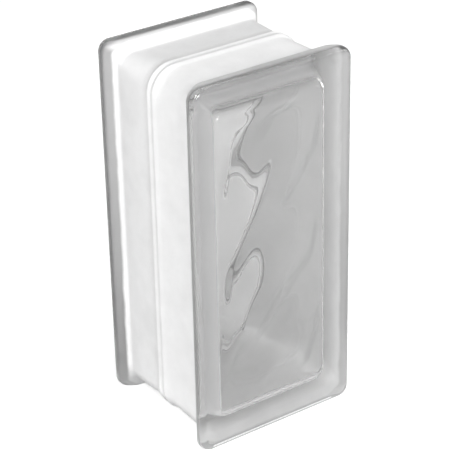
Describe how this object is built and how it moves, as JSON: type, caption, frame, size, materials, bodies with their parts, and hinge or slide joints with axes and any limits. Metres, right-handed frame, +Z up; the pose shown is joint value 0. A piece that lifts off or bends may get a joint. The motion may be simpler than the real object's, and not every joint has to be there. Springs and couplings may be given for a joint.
{
  "type": "glass block",
  "caption": "Half-width hollow glass building block with wave-relief panes, bare glass rims and a white-coated mortar channel around its edges.",
  "frame": {"origin": "middle of the bottom, in the plane of the rims that the block stands on", "axes": "+Z up along the height, +Y through the thickness from the front pane to the back pane, +X across the width"},
  "size_m": [0.09, 0.08, 0.19],
  "materials": {
    "glass": "clear fire-polished pressed glass; channel faces coated white"
  },
  "bodies": {
    "root": {"glass_block": "glass"}
  },
  "joints": []
}
